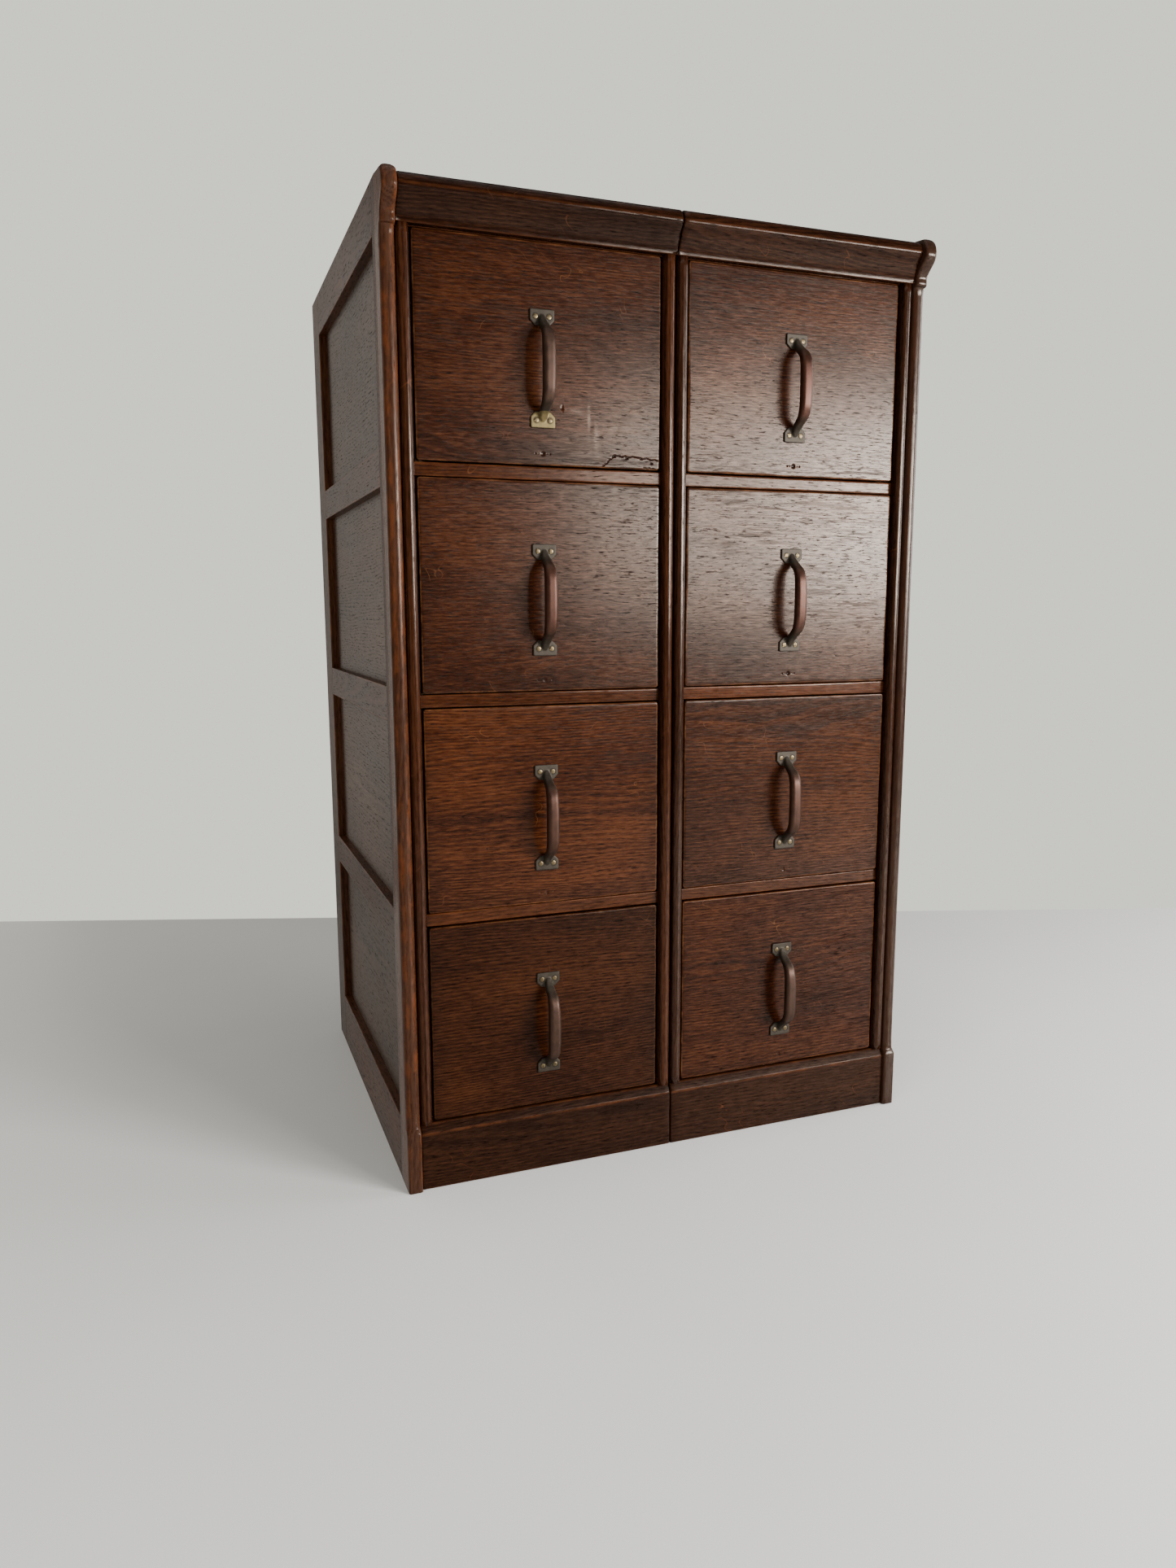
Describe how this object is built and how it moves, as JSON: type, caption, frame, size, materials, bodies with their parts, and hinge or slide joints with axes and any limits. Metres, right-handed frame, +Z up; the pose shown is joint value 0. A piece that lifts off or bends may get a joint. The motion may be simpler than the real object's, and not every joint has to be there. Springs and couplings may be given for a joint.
{
  "type": "filing cabinet",
  "caption": "Pair of dark oak vertical filing cabinets joined side by side between frame-and-panel ends, with sliding drawers and upright cast pulls.",
  "frame": {"origin": "on the floor, under the middle of the whole object, pulls included", "axes": "+Z up, +X to the right seen from the front, +Y towards the back; the drawers open towards -Y"},
  "size_m": [0.794, 0.67, 1.32],
  "materials": {
    "case_oak": "dark stained oak, satin varnish",
    "end_oak": "dark stained oak, dull",
    "drawer_front_oak": "dark stained oak, satin varnish, worn",
    "drawer_box_wood": "plain unfinished hardwood",
    "inner_wood": "plain unfinished softwood",
    "back_wood": "stained softwood boards",
    "pull_bronze": "patinated cast bronze, rubbed bow",
    "screw_steel": "aged slotted screws",
    "bolt_steel": "plain steel"
  },
  "bodies": {
    "case": {"left_end_frame": "end_oak", "right_end_frame": "end_oak", "left_end_panels": "end_oak", "right_end_panels": "end_oak", "left_cornice": "case_oak", "right_cornice": "case_oak", "left_plinth": "case_oak", "right_plinth": "case_oak", "left_stiles": "case_oak", "right_stiles": "case_oak", "left_rails": "case_oak", "right_rails": "case_oak", "left_top_board": "case_oak", "right_top_board": "case_oak", "left_runners": "inner_wood", "right_runners": "inner_wood", "inner_sides": "inner_wood", "bottom_boards": "inner_wood", "back_boards": "back_wood", "joining_bolts": "bolt_steel"},
    "left_drawer_1": {"left_drawer_1_front": "drawer_front_oak", "left_drawer_1_box": "drawer_box_wood", "left_drawer_1_bottom": "drawer_box_wood", "left_drawer_1_pull": "pull_bronze", "left_drawer_1_screws": "screw_steel"},
    "left_drawer_2": {"left_drawer_2_front": "drawer_front_oak", "left_drawer_2_box": "drawer_box_wood", "left_drawer_2_bottom": "drawer_box_wood", "left_drawer_2_pull": "pull_bronze", "left_drawer_2_screws": "screw_steel"},
    "left_drawer_3": {"left_drawer_3_front": "drawer_front_oak", "left_drawer_3_box": "drawer_box_wood", "left_drawer_3_bottom": "drawer_box_wood", "left_drawer_3_pull": "pull_bronze", "left_drawer_3_screws": "screw_steel"},
    "left_drawer_4": {"left_drawer_4_front": "drawer_front_oak", "left_drawer_4_box": "drawer_box_wood", "left_drawer_4_bottom": "drawer_box_wood", "left_drawer_4_pull": "pull_bronze", "left_drawer_4_screws": "screw_steel"},
    "right_drawer_1": {"right_drawer_1_front": "drawer_front_oak", "right_drawer_1_box": "drawer_box_wood", "right_drawer_1_bottom": "drawer_box_wood", "right_drawer_1_pull": "pull_bronze", "right_drawer_1_screws": "screw_steel"},
    "right_drawer_2": {"right_drawer_2_front": "drawer_front_oak", "right_drawer_2_box": "drawer_box_wood", "right_drawer_2_bottom": "drawer_box_wood", "right_drawer_2_pull": "pull_bronze", "right_drawer_2_screws": "screw_steel"},
    "right_drawer_3": {"right_drawer_3_front": "drawer_front_oak", "right_drawer_3_box": "drawer_box_wood", "right_drawer_3_bottom": "drawer_box_wood", "right_drawer_3_pull": "pull_bronze", "right_drawer_3_screws": "screw_steel"},
    "right_drawer_4": {"right_drawer_4_front": "drawer_front_oak", "right_drawer_4_box": "drawer_box_wood", "right_drawer_4_bottom": "drawer_box_wood", "right_drawer_4_pull": "pull_bronze", "right_drawer_4_screws": "screw_steel"}
  },
  "joints": [
    {"name": "left_drawer_1_slide", "type": "slide", "parent": "case", "child": "left_drawer_1", "axis": [0, -1, 0], "range_m": [0, 0.44]},
    {"name": "left_drawer_2_slide", "type": "slide", "parent": "case", "child": "left_drawer_2", "axis": [0, -1, 0], "range_m": [0, 0.44]},
    {"name": "left_drawer_3_slide", "type": "slide", "parent": "case", "child": "left_drawer_3", "axis": [0, -1, 0], "range_m": [0, 0.44]},
    {"name": "left_drawer_4_slide", "type": "slide", "parent": "case", "child": "left_drawer_4", "axis": [0, -1, 0], "range_m": [0, 0.44]},
    {"name": "right_drawer_1_slide", "type": "slide", "parent": "case", "child": "right_drawer_1", "axis": [0, -1, 0], "range_m": [0, 0.44]},
    {"name": "right_drawer_2_slide", "type": "slide", "parent": "case", "child": "right_drawer_2", "axis": [0, -1, 0], "range_m": [0, 0.44]},
    {"name": "right_drawer_3_slide", "type": "slide", "parent": "case", "child": "right_drawer_3", "axis": [0, -1, 0], "range_m": [0, 0.44]},
    {"name": "right_drawer_4_slide", "type": "slide", "parent": "case", "child": "right_drawer_4", "axis": [0, -1, 0], "range_m": [0, 0.44]}
  ]
}
